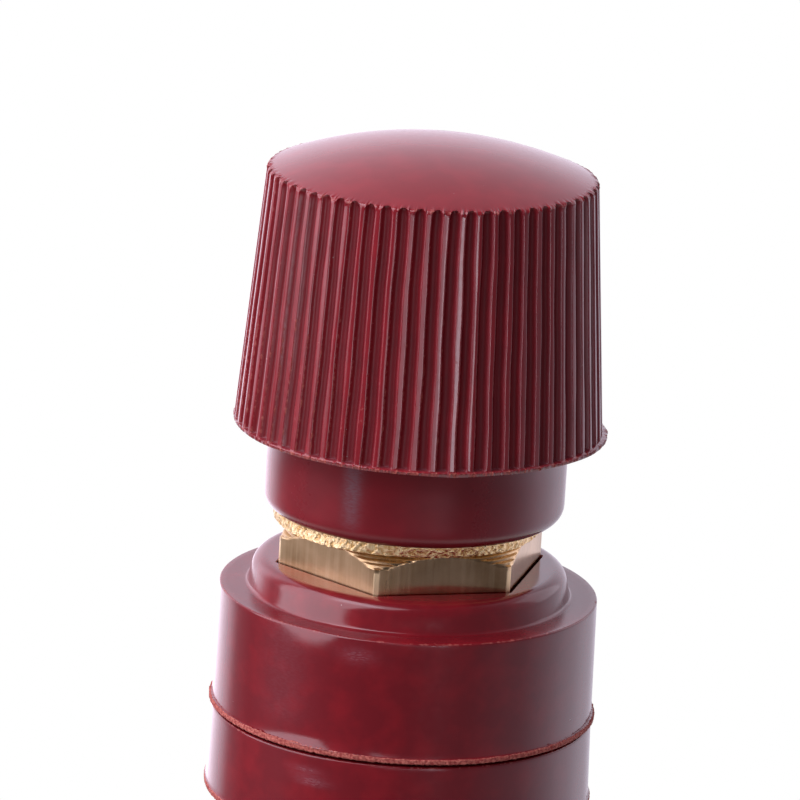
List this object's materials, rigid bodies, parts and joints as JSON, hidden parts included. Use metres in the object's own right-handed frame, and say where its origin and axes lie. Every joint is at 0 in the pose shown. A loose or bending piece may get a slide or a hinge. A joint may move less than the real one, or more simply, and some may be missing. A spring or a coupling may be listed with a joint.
{
  "type": "panel binding post",
  "caption": "Panel-mount power binding post: threaded brass stud with hex collar, stepped phenolic insulators and a fluted screw-down knob that clamps a cable lug.",
  "frame": {"origin": "on the stud axis, at the panel face under the upper insulator", "axes": "+Z along the stud towards the knob, -Y to the front as pictured"},
  "size_m": [0.0315, 0.0314, 0.0873],
  "materials": {
    "phenolic": "semi-gloss oxblood phenolic moulding",
    "brass": "bare turned brass",
    "spring_steel": "zinc plated spring steel"
  },
  "bodies": {
    "post": {"stud": "brass", "upper_insulator": "phenolic"},
    "lower_stack": {"lower_insulator": "phenolic", "panel_washer": "brass", "panel_lock_washer": "spring_steel"},
    "clamp_nut": {"clamp_nut": "brass"},
    "lug_washers": {"lug_washer": "brass", "lug_lock_washer": "spring_steel"},
    "lug_nut": {"lug_nut": "brass"},
    "knob_insert": {"knob_insert": "brass"},
    "knob": {"knob": "phenolic"}
  },
  "joints": [
    {"name": "knob_lift", "type": "slide", "parent": "post", "child": "knob_insert", "axis": [0, 0, 1], "range_m": [0, 0.018]},
    {"name": "knob_turn", "type": "hinge", "parent": "knob_insert", "child": "knob", "pos_m": [0, 0, 0.0234], "axis": [0, 0, 1], "range_deg": [0, 3703]},
    {"name": "clamp_drop", "type": "slide", "parent": "post", "child": "lower_stack", "axis": [0, 0, -1], "range_m": [0, 0.006]},
    {"name": "clamp_turn", "type": "hinge", "parent": "lower_stack", "child": "clamp_nut", "pos_m": [0, 0, -0.0144], "axis": [0, 0, -1], "range_deg": [0, 1234.4]},
    {"name": "lug_drop", "type": "slide", "parent": "clamp_nut", "child": "lug_washers", "axis": [0, 0, -1], "range_m": [0, 0.006]},
    {"name": "lug_turn", "type": "hinge", "parent": "lug_washers", "child": "lug_nut", "pos_m": [0, 0, -0.0252], "axis": [0, 0, -1], "range_deg": [0, 1234.4]}
  ],
  "couplings": [
    {"joint": "knob_turn", "follows": "knob_lift", "rad_per_m": 3590.4},
    {"joint": "clamp_turn", "follows": "clamp_drop", "rad_per_m": 3590.4},
    {"joint": "lug_turn", "follows": "lug_drop", "rad_per_m": 3590.4}
  ]
}
